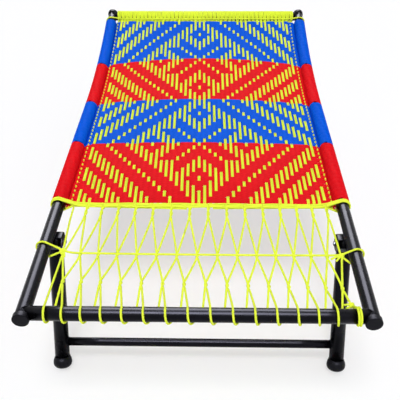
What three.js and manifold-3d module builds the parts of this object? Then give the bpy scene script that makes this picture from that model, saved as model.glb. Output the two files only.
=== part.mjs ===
// A charpai: a tube-framed rope bed, standing on two folding leg frames.
// Units are millimetres and +Z is up. The bed stands on Z = 0, its middle is over the origin,
// the open net is at the foot end (-Y) and the raised head end is at +Y.
// Bed coordinates, used below, start at the foot bar's axis: x across, y along, z from the rail's axis.

import * as THREE from 'three';
import { mergeVertices } from 'three/addons/utils/BufferGeometryUtils.js';
import Module from 'manifold-3d';

const wasm = await Module();
wasm.setup();

// Frame
const railSpacing = 876;
const barSpacing = 1777;
const railHeight = 393;
const tubeDiameter = 38;
const tubeWall = 1.6;
const levelLength = 1071;
const bendRadius = 2436;
const bendAngle = THREE.MathUtils.degToRad(14.87);
const railOverhang = 23;

// Push-on rail end caps
const endCapDiameter = 44;
const endCapSkirt = 12;
const endCapTop = 3;
const endCapDome = 1.6;
const endCapEdge = 0.5;

// Leg frames
const legDiameter = 44;
const legWall = 1.6;
const legLean = THREE.MathUtils.degToRad(1.8);
const legInset = 9;
const legSplay = { foot: THREE.MathUtils.degToRad(29.8), head: THREE.MathUtils.degToRad(17.5) };
const pivotFromBar = 325;
const stretcherDiameter = 25.4;
const stretcherFromFoot = 65;

// Rubber feet
const footDiameter = 56;
const footRound = 17;
const footSkirt = 18;
const footShoulder = 13.5;
const footSkirtDiameter = 48;
const footBoreDepth = 4;
const footBearing = 1;

// Pivot brackets, bolts and stop pins
const strapThickness = 3;
const cheekGap = 1;
const webClearance = 1.5;
const webHalf = 14;
const cheekEdge = 16;
const foldEdge = 3.5;
const pinEdge = 6;
const pinAlongLeg = 14;
const boltDiameter = 8;
const boltHeadWidth = 13;
const boltHeadHeight = 5.3;
const nutHeight = 5;
const boltProud = 1;
const pinDiameter = 10;
const pinHeadDiameter = 15;
const pinHeadHeight = 2.5;
const holeClearance = 0.4;

// Clearance between pieces that touch
const gap = 0.3;
const cutOverrun = 20;

// Rope mat, in rows of weft
const rowsPerBand = [14, 13, 13, 13];
const bandColours = ['red', 'blue', 'red', 'blue'];
const bandPlaces = ['foot', 'middle', 'upper', 'head'];
const matStart = 444;
const matFromHeadBar = 50.4;
const matThickness = 11;
const matRise = 6;
const weftDiameter = 4.8;
const wrapGap = 0.7;

// Lime rope
const ropeDiameter = 6;
const turnClearance = 0.6;
const warpGroupWidth = 28;
const warpMargin = 52;
const warpCount = 21;
const headWrapMargin = 4;
const bindingFromMat = 12;
const edgeRopes = 3;
const edgeRopePitch = 6.6;
const edgeRun = 48;
const underEnd = 40;

// Foot net
const netColumns = 16;
const netMargin = 51;
const netMiddle = -2;
const netGather = 0.09;
const netEdgeRise = 6;
const cordRowY = 218;
const cordRowRise = 5;
const lowerRowY = 98;
const lowerRowRise = 7;
const forkLength = 54;
const jointLength = 30;
const jointSpread = 5.2;
const underEase = 2.6;
const halvesMeet = THREE.MathUtils.degToRad(265);
const halvesLap = THREE.MathUtils.degToRad(5);
const knotDiameter = 17;
const endKnotFromRail = 53;
const endKnotY = 31;
const endTurnFromRail = 40;
const endTurnPitch = 6.3;
const endTurns = 2;

// How far each row of the net is shifted across from the mat's edge, and the share lost at the sides
const netRows = {
  edge: { shift: 0, loss: 0 },
  cord: { shift: 27, loss: 0.57 },
  lower: { shift: 52, loss: 0.38 },
  over: { shift: 8, loss: 0 },
  behind: { shift: 40, loss: 0.5 },
};

// Facets
const tubeSides = 16;
const boreSides = 10;
const ropeSides = 6;
const netSides = 5;
const bendSteps = 8;
const turnSteps = 8;
const domeSteps = 3;

const tubeRadius = tubeDiameter / 2;
const legRadius = legDiameter / 2;
const ropeRadius = ropeDiameter / 2;
const railX = railSpacing / 2;
const pivotX = railX - legInset;
const pivotDrop = tubeRadius + gap + strapThickness + webClearance + legRadius;
const wrapRadius = tubeRadius + wrapGap + weftDiameter;
const ropeTurnRadius = tubeRadius + turnClearance + ropeRadius;
const cheekInner = legRadius + cheekGap;
const cheekOuter = cheekInner + strapThickness;
const webUnder = legRadius + webClearance;
const webTop = webUnder + strapThickness;

const paintedSteel = new THREE.MeshStandardMaterial({ color: 0x121216, roughness: 0.38, metalness: 0.2 });
const blackPlastic = new THREE.MeshStandardMaterial({ color: 0x0d0d0f, roughness: 0.5, metalness: 0 });
const blackRubber = new THREE.MeshStandardMaterial({ color: 0x101011, roughness: 0.75, metalness: 0 });
const zincSteel = new THREE.MeshStandardMaterial({ color: 0xb9bcc0, roughness: 0.35, metalness: 1 });
const limeRope = new THREE.MeshStandardMaterial({ color: 0xd4ee20, roughness: 0.6, metalness: 0 });
const ropeColours = {
  blue: new THREE.MeshStandardMaterial({ color: 0x0b5de4, roughness: 0.6, metalness: 0 }),
  red: new THREE.MeshStandardMaterial({ color: 0xec1c24, roughness: 0.6, metalness: 0 }),
};

// Solids for joining and cutting

function toSolid(geometry) {
  const bare = geometry.clone();
  bare.deleteAttribute('normal');
  bare.deleteAttribute('uv');
  const merged = mergeVertices(bare, 1e-4);
  return new wasm.Manifold(new wasm.Mesh({
    numProp: 3,
    vertProperties: new Float32Array(merged.attributes.position.array),
    triVerts: new Uint32Array(merged.index.array),
  }));
}

function toGeometry(solid) {
  const mesh = solid.getMesh();
  const geometry = new THREE.BufferGeometry();
  geometry.setAttribute('position', new THREE.BufferAttribute(new Float32Array(mesh.vertProperties), 3));
  geometry.setIndex(new THREE.BufferAttribute(new Uint32Array(mesh.triVerts), 1));
  geometry.computeVertexNormals();
  return geometry;
}

function join(geometries) {
  return toGeometry(geometries.map(toSolid).reduce((whole, piece) => whole.add(piece)));
}

function cut(geometry, cutters) {
  return toGeometry(cutters.map(toSolid).reduce((whole, piece) => whole.subtract(piece), toSolid(geometry)));
}

// Basic shapes

function placed(geometry, position, rotation = new THREE.Euler()) {
  const matrix = new THREE.Matrix4().makeRotationFromEuler(rotation);
  matrix.setPosition(position);
  return geometry.clone().applyMatrix4(matrix);
}

function circlePoints(radius, sides) {
  return Array.from({ length: sides }, (_, i) => {
    const angle = (2 * Math.PI * i) / sides;
    return new THREE.Vector2(radius * Math.cos(angle), radius * Math.sin(angle));
  });
}

function circle(radius, sides) {
  return new THREE.Shape(circlePoints(radius, sides));
}

function ring(outerRadius, innerRadius, sides, innerSides) {
  const shape = circle(outerRadius, sides);
  shape.holes.push(circle(innerRadius, innerSides));
  return shape;
}

// A rod or plate of the given section, centred on the origin, along X
function alongX(shape, length) {
  const geometry = new THREE.ExtrudeGeometry(shape, { depth: length, bevelEnabled: false });
  geometry.translate(0, 0, -length / 2);
  geometry.rotateY(Math.PI / 2);
  return geometry;
}

// A side view, drawn with its x along the bed and its y up, as a plate of the given width across the bed
function sideView(shape, width) {
  const geometry = new THREE.ExtrudeGeometry(shape, { depth: width, bevelEnabled: false });
  geometry.translate(0, 0, -width / 2);
  geometry.applyMatrix4(new THREE.Matrix4().makeBasis(
    new THREE.Vector3(0, 1, 0), new THREE.Vector3(0, 0, 1), new THREE.Vector3(1, 0, 0)));
  return geometry;
}

function rodX(radius, length, x, y, z, sides = tubeSides) {
  return alongX(circle(radius, sides), length).translate(x, y, z);
}

function turned(profile, sides = tubeSides) {
  const points = profile.map(([r, z]) => new THREE.Vector2(r, z));
  return new THREE.LatheGeometry(points, sides).rotateX(Math.PI / 2);
}

function arcPoints(cx, cy, rx, ry, from, to, steps) {
  return Array.from({ length: steps + 1 }, (_, i) => {
    const angle = from + ((to - from) * i) / steps;
    return [cx + rx * Math.cos(angle), cy + ry * Math.sin(angle)];
  });
}

// The rail's line: level from the foot, then a gentle bend up, then straight to the head end

const bendLength = bendRadius * bendAngle;

function railPoint(s) {
  const inBend = THREE.MathUtils.clamp(s - levelLength, 0, bendLength);
  const angle = inBend / bendRadius;
  const beyond = Math.max(s - levelLength - bendLength, 0);
  return {
    y: Math.min(s, levelLength) + bendRadius * Math.sin(angle) + beyond * Math.cos(angle),
    z: bendRadius * (1 - Math.cos(angle)) + beyond * Math.sin(angle),
    angle,
  };
}

// A point a given rise above the rail's line, square to it
function offRail(s, rise) {
  const { y, z, angle } = railPoint(s);
  return [y - rise * Math.sin(angle), z + rise * Math.cos(angle)];
}

// Stations between two ends, with one at each step of the bend
function railStations(from, to) {
  const steps = Array.from({ length: bendSteps + 1 }, (_, i) => levelLength + (i * bendLength) / bendSteps);
  return [from, ...steps.filter((s) => s > from + gap && s < to - gap), to];
}

// A section carried along a rail: an outline and any holes in it, with x across and y up from the rail's line
function alongRail(outline, holes, x, from, to) {
  const loops = [outline, ...holes.map((hole) => [...hole].reverse())];
  const section = loops.flat();
  const stations = railStations(from, to);
  const ringAt = (s) => section.flatMap((corner) => [x + corner.x, ...offRail(s, corner.y)]);
  const positions = stations.flatMap(ringAt);
  const last = (stations.length - 1) * section.length;
  const index = THREE.ShapeUtils.triangulateShape(loops[0], loops.slice(1))
    .flatMap(([a, b, c]) => [a, b, c, last + a, last + c, last + b]);
  let first = 0;
  for (const loop of loops) {
    for (let step = 0; step < stations.length - 1; step++) {
      const start = step * section.length + first;
      for (let k = 0; k < loop.length; k++) {
        const a = start + k;
        const b = start + ((k + 1) % loop.length);
        index.push(a, a + section.length, b + section.length, a, b + section.length, b);
      }
    }
    first += loop.length;
  }
  const geometry = new THREE.BufferGeometry();
  geometry.setAttribute('position', new THREE.Float32BufferAttribute(positions, 3));
  geometry.setIndex(index);
  geometry.computeVertexNormals();
  return geometry;
}

// Rope: a tube of the given radius through points

function rope(points, radius = ropeRadius, sides = ropeSides) {
  const rings = points.map((point, i) => {
    const before = points[Math.max(i - 1, 0)];
    const after = points[Math.min(i + 1, points.length - 1)];
    return { point, tangent: after.clone().sub(before).normalize() };
  });
  const positions = [];
  const normal = new THREE.Vector3(0, 0, 1);
  if (Math.abs(rings[0].tangent.z) > Math.SQRT1_2) normal.set(1, 0, 0);
  for (const { point, tangent } of rings) {
    normal.addScaledVector(tangent, -normal.dot(tangent)).normalize();
    const side = tangent.clone().cross(normal);
    for (let k = 0; k < sides; k++) {
      const angle = (2 * Math.PI * k) / sides;
      const corner = point.clone();
      corner.addScaledVector(normal, radius * Math.cos(angle));
      corner.addScaledVector(side, radius * Math.sin(angle));
      positions.push(corner.x, corner.y, corner.z);
    }
  }
  const index = [];
  for (let i = 0; i < points.length - 1; i++) {
    for (let k = 0; k < sides; k++) {
      const a = i * sides + k;
      const b = i * sides + ((k + 1) % sides);
      index.push(a, b, b + sides, a, b + sides, a + sides);
    }
  }
  for (let k = 1; k < sides - 1; k++) {
    const last = (points.length - 1) * sides;
    index.push(0, k + 1, k, last, last + k, last + k + 1);
  }
  const geometry = new THREE.BufferGeometry();
  geometry.setAttribute('position', new THREE.Float32BufferAttribute(positions, 3));
  geometry.setIndex(index);
  geometry.computeVertexNormals();
  return geometry;
}

function vector([x, y, z]) {
  return new THREE.Vector3(x, y, z);
}

// Points of a rope's turn round a tube on the origin, as [across, up], far enough out to clear the tube
function turnPoints(from, to, steps) {
  const radius = ropeTurnRadius / Math.cos((to - from) / steps / 2);
  return arcPoints(0, 0, radius, radius, from, to, steps);
}

// The angle at which a straight run from a point outside touches the rope's turn, on its upper or lower side
function touchAngle(across, up, upper) {
  const reach = Math.acos(ropeTurnRadius / Math.hypot(across, up));
  return Math.atan2(up, across) + (upper ? 1 : -1) * reach;
}

// A turn round a crossbar, with x easing across it
function turnX(fromX, toX, from, to, steps, ease = 1) {
  const across = (i) => fromX + (toX - fromX) * (i / steps) ** ease;
  return turnPoints(from, to, steps).map(([y, z], i) => vector([across(i), y, z]));
}

const bed = new THREE.Group();

function add(parent, name, geometry, material) {
  const mesh = new THREE.Mesh(geometry, material);
  mesh.name = name;
  parent.add(mesh);
  return mesh;
}

const sides = { left: -1, right: 1 };

// Side rails, crossbars and end caps

const bars = { foot: 0, head: barSpacing };

for (const [name, side] of Object.entries(sides)) {
  const outline = circlePoints(tubeRadius, tubeSides);
  const bore = circlePoints(tubeRadius - tubeWall, boreSides);
  const rail = alongRail(outline, [bore], side * railX, -railOverhang, barSpacing + railOverhang);
  add(bed, `side_rail_${name}`, rail, paintedSteel);
}

// A rod along the rail's direction at a station, used to cope what meets the rail
function railCutter(side, station, radius) {
  const { y, z, angle } = railPoint(station);
  const rod = new THREE.CylinderGeometry(radius, radius, tubeDiameter + 2 * cutOverrun, tubeSides);
  rod.rotateX(angle);
  return rod.translate(side * railX, y, z);
}

for (const [name, station] of Object.entries(bars)) {
  const { y, z } = railPoint(station);
  const tube = alongX(ring(tubeRadius, tubeRadius - tubeWall, tubeSides, boreSides), railSpacing);
  tube.translate(0, y, z);
  const cutters = Object.values(sides).map((side) => railCutter(side, station, tubeRadius + gap));
  add(bed, `${name}_crossbar`, cut(tube, cutters), paintedSteel);
}

// Each cap is turned about its rail, and its skirt is notched where the crossbar meets the rail
function endCap() {
  const outer = endCapDiameter / 2;
  const bore = tubeRadius + gap;
  const floor = gap;
  const top = floor + endCapTop - endCapDome;
  return turned([
    [0, floor],
    [bore, floor],
    [bore, floor - endCapSkirt],
    [outer, floor - endCapSkirt],
    [outer, top],
    [outer - endCapDome, top + endCapDome - endCapEdge],
    [0, top + endCapDome],
  ]);
}

for (const [name, side] of Object.entries(sides)) {
  for (const [end, station] of Object.entries(bars)) {
    const outward = end === 'foot' ? -1 : 1;
    const { y, z, angle } = railPoint(station + outward * railOverhang);
    const turn = new THREE.Euler(outward === 1 ? angle - Math.PI / 2 : Math.PI / 2 + angle, 0, 0);
    const cap = placed(endCap(), new THREE.Vector3(side * railX, y, z), turn);
    const bar = railPoint(station);
    const notch = rodX(tubeRadius + gap, railX, side * (railX / 2), bar.y, bar.z);
    add(bed, `rail_end_cap_${end}_${name}`, cut(cap, [notch]), blackPlastic);
  }
}

// Leg frames

const footFlat = footDiameter / 2 - footRound;

// The leg's length at which its foot's rounded edge bears on the ground, pressed flat by the bearing depth
function lengthFor(pivotHeight, splay) {
  const drop = pivotHeight + footBearing - footRound - footFlat * Math.sin(splay);
  return drop / Math.cos(splay) / Math.cos(legLean);
}

const frames = {};
for (const [end, towards] of Object.entries({ foot: -1, head: 1 })) {
  const station = end === 'foot' ? pivotFromBar : barSpacing - pivotFromBar;
  const [y, z] = offRail(station, -pivotDrop);
  const { angle } = railPoint(station);
  const splay = legSplay[end];
  const legLength = lengthFor(railHeight + z, splay);
  frames[end] = { towards, station, y, z, railAngle: angle, splay, legLength };
}

function legTube(length) {
  const legEnd = -(length - footBoreDepth - gap);
  const inner = legRadius - legWall;
  const quarter = Math.PI / 2;
  const profile = [
    ...arcPoints(0, 0, legRadius, legRadius, quarter, 0, domeSteps),
    [legRadius, legEnd],
    [inner, legEnd],
    ...arcPoints(0, 0, inner, inner, 0, quarter, domeSteps),
  ];
  profile[0][0] = 0;
  profile[profile.length - 1][0] = 0;
  return turned(profile.reverse());
}

function footCap() {
  const bore = legRadius + gap;
  const skirt = footSkirtDiameter / 2;
  const widest = footDiameter / 2;
  const profile = [
    [0, footBoreDepth],
    [bore, footBoreDepth],
    [bore, footSkirt],
    [skirt, footSkirt],
    ...arcPoints(skirt, 0, widest - skirt, footShoulder, Math.PI / 2, 0, domeSteps),
    ...arcPoints(footFlat, 0, footRound, footRound, 0, -Math.PI / 2, domeSteps + 2).slice(1),
    [0, -footRound],
  ];
  return turned(profile.reverse());
}

// A leg's own line: down from the pivot, leaning in towards the middle of the bed
function onLeg(geometry, side, along = 0) {
  return geometry.clone()
    .translate(0, 0, -along)
    .rotateY(side * legLean)
    .translate(side * pivotX, 0, 0);
}

for (const [end, frame] of Object.entries(frames)) {
  const group = new THREE.Group();
  group.position.set(0, frame.y, frame.z);
  group.rotation.x = frame.towards * frame.splay;
  group.updateMatrix();
  bed.add(group);
  const { legLength } = frame;
  const ground = new THREE.BoxGeometry(2 * railSpacing, 2 * legLength, cutOverrun);
  ground.translate(0, frame.y, -railHeight - cutOverrun / 2);
  ground.applyMatrix4(group.matrix.clone().invert());
  for (const [name, side] of Object.entries(sides)) {
    const boltHole = boltDiameter / 2 + holeClearance;
    const hole = rodX(boltHole, legDiameter + cutOverrun, side * pivotX, 0, 0, boreSides);
    add(group, `leg_${end}_${name}`, cut(onLeg(legTube(legLength), side), [hole]), paintedSteel);
    add(group, `foot_cap_${end}_${name}`, cut(onLeg(footCap(), side, legLength), [ground]), blackRubber);
  }
  const along = legLength - stretcherFromFoot;
  const halfWidth = pivotX - along * Math.sin(legLean);
  const outer = stretcherDiameter / 2;
  const tube = alongX(ring(outer, outer - legWall, tubeSides, boreSides), 2 * halfWidth);
  tube.translate(0, 0, -along * Math.cos(legLean));
  const legCutters = Object.values(sides).map((side) => {
    const rod = new THREE.CylinderGeometry(legRadius + gap, legRadius + gap, 2 * legLength, tubeSides);
    return onLeg(rod.rotateX(Math.PI / 2), side);
  });
  add(group, `stretcher_${end}`, cut(tube, legCutters), paintedSteel);
}

// Pivot brackets: a folded strap under each rail, with the bolt and the stop pin through its cheeks

function convexOutline(points) {
  const sorted = [...points].sort((a, b) => a[0] - b[0] || a[1] - b[1]);
  const half = (list) => list.reduce((chain, p) => {
    while (chain.length > 1) {
      const [ax, ay] = chain[chain.length - 2];
      const [bx, by] = chain[chain.length - 1];
      if ((bx - ax) * (p[1] - ay) - (by - ay) * (p[0] - ax) > 0) break;
      chain.pop();
    }
    return [...chain, p];
  }, []);
  const lower = half(sorted);
  const upper = half([...sorted].reverse());
  const corners = [...lower.slice(0, -1), ...upper.slice(0, -1)];
  return new THREE.Shape(corners.map(([x, y]) => new THREE.Vector2(x, y)));
}

// The stop pin bears on the leg's outer side when the leg stands at its splay
function pinPlace(frame) {
  const relative = frame.splay - frame.towards * frame.railAngle;
  const away = legRadius + gap + pinDiameter / 2;
  return [
    frame.towards * (pinAlongLeg * Math.sin(relative) + away * Math.cos(relative)),
    away * Math.sin(relative) - pinAlongLeg * Math.cos(relative),
  ];
}

// Takes off the sharp edge where the strap is folded from its web into a cheek
function foldCutter(side) {
  const cutter = new THREE.BoxGeometry(cutOverrun, 2 * (webHalf + cutOverrun), cutOverrun);
  const reach = cutOverrun / 2 / Math.SQRT2 - foldEdge / 2;
  return cutter.rotateY(Math.PI / 4).translate(side * (cheekOuter + reach), 0, webTop + reach);
}

function bracket(frame) {
  const cheekRadius = boltDiameter / 2 + cheekEdge;
  const pinRadius = pinDiameter / 2 + pinEdge;
  const [pinY, pinZ] = pinPlace(frame);
  const rounds = [
    ...arcPoints(0, 0, cheekRadius, cheekRadius, 0, 2 * Math.PI, tubeSides),
    ...arcPoints(pinY, pinZ, pinRadius, pinRadius, 0, 2 * Math.PI, tubeSides),
  ];
  const ends = rounds.map(([y]) => y);
  const [least, most] = [Math.min(...ends), Math.max(...ends)];
  const outline = convexOutline([...rounds, [-webHalf, webTop], [webHalf, webTop]]);
  const cheekX = cheekInner + strapThickness / 2;
  const cheeks = [-1, 1].map((side) => sideView(outline, strapThickness).translate(side * cheekX, 0, 0));
  const web = new THREE.BoxGeometry(2 * cheekOuter, 2 * webHalf, strapThickness);
  web.translate(0, 0, webTop - strapThickness / 2);
  const across = 2 * cheekOuter + cutOverrun;
  return {
    geometry: cut(join([...cheeks, web]), [
      foldCutter(-1),
      foldCutter(1),
      rodX(boltDiameter / 2 + holeClearance, across, 0, 0, 0, boreSides),
      rodX(pinDiameter / 2 + holeClearance, across, 0, pinY, pinZ, boreSides),
    ]),
    least,
    most,
  };
}

function pivotBolt() {
  const radius = boltDiameter / 2;
  const head = alongX(circle(boltHeadWidth / Math.sqrt(3), 6), boltHeadHeight);
  head.translate(cheekOuter + gap + boltHeadHeight / 2, 0, 0);
  const from = -(cheekOuter + gap + nutHeight + boltProud);
  const to = cheekOuter + gap + boltHeadHeight / 2;
  return join([head, rodX(radius, to - from, (from + to) / 2, 0, 0, boreSides)]);
}

function pivotNut() {
  const nut = alongX(circle(boltHeadWidth / Math.sqrt(3), 6), nutHeight);
  nut.translate(-(cheekOuter + gap + nutHeight / 2), 0, 0);
  return cut(nut, [rodX(boltDiameter / 2 + gap, 2 * (cheekOuter + cutOverrun), 0, 0, 0, boreSides)]);
}

function stopPin() {
  const shank = rodX(pinDiameter / 2, 2 * (cheekOuter + gap + pinHeadHeight / 2), 0, 0, 0, boreSides);
  const heads = [-1, 1].map((side) =>
    rodX(pinHeadDiameter / 2, pinHeadHeight, side * (cheekOuter + gap + pinHeadHeight / 2), 0, 0, boreSides));
  return join([shank, ...heads]);
}

const bracketEnds = {};
for (const [end, frame] of Object.entries(frames)) {
  const { geometry, least, most } = bracket(frame);
  bracketEnds[end] = { least, most };
  const [pinY, pinZ] = pinPlace(frame);
  for (const [name, side] of Object.entries(sides)) {
    const seat = new THREE.Vector3(side * pivotX, frame.y, frame.z);
    const turn = new THREE.Euler(frame.railAngle, 0, 0);
    add(bed, `pivot_bracket_${end}_${name}`, placed(geometry, seat, turn), paintedSteel);
    const outward = (piece) => placed(side === 1 ? piece : piece.rotateZ(Math.PI), seat, turn);
    add(bed, `pivot_bolt_${end}_${name}`, outward(pivotBolt()), zincSteel);
    add(bed, `pivot_nut_${end}_${name}`, outward(pivotNut()), zincSteel);
    add(bed, `stop_pin_${end}_${name}`, placed(stopPin().translate(0, pinY, pinZ), seat, turn), zincSteel);
  }
}

// Rope mat: four bands of weft, and the turns of the same rope round both rails

const rowCount = rowsPerBand.reduce((sum, rows) => sum + rows);
const rowPitch = (barSpacing - matFromHeadBar - matStart) / rowCount;
const bandEnds = [matStart];
for (const rows of rowsPerBand) bandEnds.push(bandEnds[bandEnds.length - 1] + rows * rowPitch);
const matEnd = bandEnds[bandEnds.length - 1];

function matBand(from, to) {
  const half = railX - wrapRadius - gap;
  const top = matRise + matThickness / 2;
  const under = matRise - matThickness / 2;
  const corners = [[-half, under], [half, under], [half, top], [-half, top]];
  return alongRail(corners.map(([x, y]) => new THREE.Vector2(x, y)), [], 0, from, to);
}

const bracketNotch = (frame, { least, most }) => {
  const depth = strapThickness + weftDiameter + cutOverrun;
  const box = new THREE.BoxGeometry(2 * (cheekOuter + gap), most - least + 2 * gap, depth);
  box.translate(0, (least + most) / 2, webTop + gap - depth / 2);
  return box;
};

bandPlaces.forEach((place, i) => {
  const from = bandEnds[i] + gap / 2;
  const to = bandEnds[i + 1] - gap / 2;
  const material = ropeColours[bandColours[i]];
  add(bed, `mat_band_${place}_${bandColours[i]}`, matBand(from, to), material);
  for (const [name, side] of Object.entries(sides)) {
    const bore = circlePoints(tubeRadius + wrapGap, tubeSides);
    let wrap = alongRail(circlePoints(wrapRadius, tubeSides), [bore], side * railX, from, to);
    for (const [end, frame] of Object.entries(frames)) {
      if (frame.station < from || frame.station > to) continue;
      const notch = bracketNotch(frame, bracketEnds[end]);
      const turn = new THREE.Euler(frame.railAngle, 0, 0);
      wrap = cut(wrap, [placed(notch, new THREE.Vector3(side * pivotX, frame.y, frame.z), turn)]);
    }
    add(bed, `rail_wrap_${place}_${bandColours[i]}_${name}`, wrap, material);
  }
});

// Lime rope at the head: the warps leave the mat in groups and turn round the head bar
const headBar = railPoint(barSpacing);
const headTurnSection = ring(tubeRadius + wrapGap + ropeDiameter, tubeRadius + wrapGap, tubeSides, tubeSides);
const headTurns = alongX(headTurnSection, 2 * (railX - tubeRadius - gap - headWrapMargin));
headTurns.translate(0, headBar.y, headBar.z);

const warpEnd = barSpacing - tubeRadius - wrapGap - ropeDiameter / 2;
const warpPitch = 2 * (railX - warpMargin) / (warpCount - 1);
const warps = Array.from({ length: warpCount }, (_, i) => {
  const length = warpEnd - matEnd - gap;
  const warp = new THREE.BoxGeometry(warpGroupWidth, length, matThickness);
  const middle = (matEnd + gap + warpEnd) / 2;
  const [y, z] = offRail(middle, matRise);
  const place = new THREE.Vector3((i - (warpCount - 1) / 2) * warpPitch, y, z);
  return placed(warp, place, new THREE.Euler(railPoint(middle).angle, 0, 0));
});
add(bed, 'head_warp_turns', join([headTurns, ...warps]), limeRope);

// A cord laid across the bed at a station, round the outside of both rails and back beneath
function acrossRope(station, rise, underRise, offset = 0) {
  const { y, z, angle } = railPoint(station);
  const onto = Math.PI - touchAngle(edgeRun, rise, true);
  const off = Math.PI - touchAngle(edgeRun, underRise, false);
  const right = [
    [underEnd, underRise],
    [railX - edgeRun, underRise],
    ...turnPoints(off - 2 * Math.PI, onto, turnSteps).map(([x, v]) => [railX + x, v]),
    [railX - edgeRun, rise],
  ];
  const left = [...right].reverse().map(([x, v]) => [-x, v]);
  const points = [...right, ...left].map(([x, v]) => new THREE.Vector3(x, offset, v));
  return placed(rope(points), new THREE.Vector3(0, y, z), new THREE.Euler(angle, 0, 0));
}

const topRise = matRise + matThickness / 2 + gap + ropeRadius;
const underRise = matRise - matThickness / 2 - gap - ropeRadius;
add(bed, 'head_binding_cord', acrossRope(matEnd + bindingFromMat, topRise, underRise), limeRope);

// Lime rope at the foot edge of the mat

const edgeMiddle = matStart - gap - (edgeRopes * edgeRopePitch) / 2;
const edgeRise = matRise + ropeRadius + gap / 2;
for (let i = 0; i < edgeRopes; i++) {
  const offset = (i - (edgeRopes - 1) / 2) * edgeRopePitch;
  const cord = acrossRope(edgeMiddle, edgeRise, edgeRise - ropeDiameter - gap, offset);
  add(bed, `mat_edge_rope_${i + 1}`, cord, limeRope);
}

// Foot net: loops of one rope, held together at the joints, laced round the foot bar and tied to the rails

const netStart = edgeMiddle - (edgeRopes * edgeRopePitch) / 2 - gap;

// The columns gather a little towards both sides of the net
function netColumn(i, row) {
  const out = (2 * i) / (netColumns - 1) - 1;
  const spread = (railX - netMargin) * ((1 + netGather) * out - netGather * out ** 3);
  return netMiddle + spread + row.shift * (1 - row.loss * out ** 2);
}

function joint(i, row, y, rise, side, length) {
  const x = netColumn(i, row) + (side * jointSpread) / 2;
  return [vector([x, y + length / 2, rise]), vector([x, y - length / 2, rise])];
}

function edgeJoint(i, side) {
  return joint(i, netRows.edge, netStart - forkLength / 2, netEdgeRise, side, forkLength);
}

function cordJoint(i, side) {
  return joint(i, netRows.cord, cordRowY, cordRowRise, side, jointLength);
}

function lowerJoint(i, side) {
  return joint(i, netRows.lower, lowerRowY, lowerRowRise, side, jointLength);
}

const lacedFrom = lowerRowY - jointLength / 2;
const overAngle = touchAngle(lacedFrom, lowerRowRise, true);
const behindAngle = touchAngle(lacedFrom, lowerRowRise, false) + 2 * Math.PI;

// Each loop runs from its edge joint down to the bar, over and under it, and back up to the next edge joint.
// It is made of two halves that meet under the bar, and neighbours hold each other at the joints.
const strands = [];
const lastColumn = netColumns - 1;
for (let i = 0; i < lastColumn; i++) {
  const overX = netColumn(i, netRows.over);
  const behindX = netColumn(i, netRows.behind);
  const underX = (overX + behindX) / 2;
  const down = [...edgeJoint(i, 1), ...cordJoint(i, -1), ...(i > 0 ? lowerJoint(i - 1, 1) : [])];
  const front = turnX(overX, underX, overAngle, halvesMeet + halvesLap, turnSteps, underEase);
  const back = turnX(underX, behindX, halvesMeet, behindAngle, 1);
  const up = [...edgeJoint(i + 1, -1), ...cordJoint(i, 1), ...lowerJoint(i, -1)].reverse();
  strands.push(rope([...down, ...front], ropeRadius, netSides));
  strands.push(rope([...back, ...up], ropeRadius, netSides));
}

// The last strand ends in a knot behind the foot bar, after two turns round the bar beside it
const endKnot = vector([railX - endKnotFromRail, endKnotY, lowerRowRise]);
const knotOver = touchAngle(endKnotY, lowerRowRise, true);
const knotBehind = touchAngle(endKnotY, lowerRowRise, false) + 2 * Math.PI;
const endTurnX = railX - endTurnFromRail;
const endTurn = turnX(endTurnX, endTurnX + endTurns * endTurnPitch,
  knotOver, knotBehind + 2 * Math.PI * (endTurns - 1), endTurns * turnSteps);
const lastDown = [...edgeJoint(lastColumn, 1), ...cordJoint(lastColumn, -1), ...lowerJoint(lastColumn - 1, 1)];
strands.push(rope([...lastDown, endKnot], ropeRadius, netSides));
strands.push(rope([endKnot, ...endTurn, endKnot], ropeRadius, netSides));
strands.push(knot(endKnot));

function knot(place) {
  return new THREE.IcosahedronGeometry(knotDiameter / 2, 1).translate(...place.toArray());
}

add(bed, 'foot_net', join(strands), limeRope);

// The cross cord passes over the net's joints and is knotted to a tie round each rail
const cordRise = cordRowRise + ropeDiameter + gap;
const tieOffset = (jointSpread + ropeDiameter + knotDiameter) / 2 + gap;
const tieEnds = [netColumn(0, netRows.cord) - tieOffset, netColumn(lastColumn, netRows.cord) + tieOffset];
const crossCord = [rope(tieEnds.map((x) => vector([x, cordRowY, cordRise])))];
for (const tieX of tieEnds) {
  const side = Math.sign(tieX);
  const run = railX - Math.abs(tieX);
  const onto = Math.PI - touchAngle(run, cordRise, true);
  const off = -Math.PI - touchAngle(run, cordRowRise, false);
  const turn = turnPoints(off, onto, turnSteps).map(([x, v]) => vector([side * (railX + x), cordRowY, v]));
  const tie = [vector([tieX, cordRowY, cordRowRise]), ...turn, vector([tieX, cordRowY, cordRise])];
  crossCord.push(rope(side === 1 ? tie : tie.reverse()));
  crossCord.push(knot(vector([tieX, cordRowY, cordRowRise])));
}
add(bed, 'net_cross_cord', join(crossCord), limeRope);

// The bed stands on Z = 0, with its middle over the origin
const charpai = new THREE.Group();
charpai.add(bed);
charpai.updateMatrixWorld(true);
const extent = new THREE.Box3().setFromObject(bed, true);
bed.position.set(0, -(extent.min.y + extent.max.y) / 2, railHeight);
charpai.updateMatrixWorld(true);

export default charpai;
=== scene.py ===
"""A folding charpai: black painted tube frame, woven rope mat and a laced rope net at the foot."""

import math

import bmesh
import bpy
import numpy as np
from mathutils import Matrix, Vector


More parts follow.
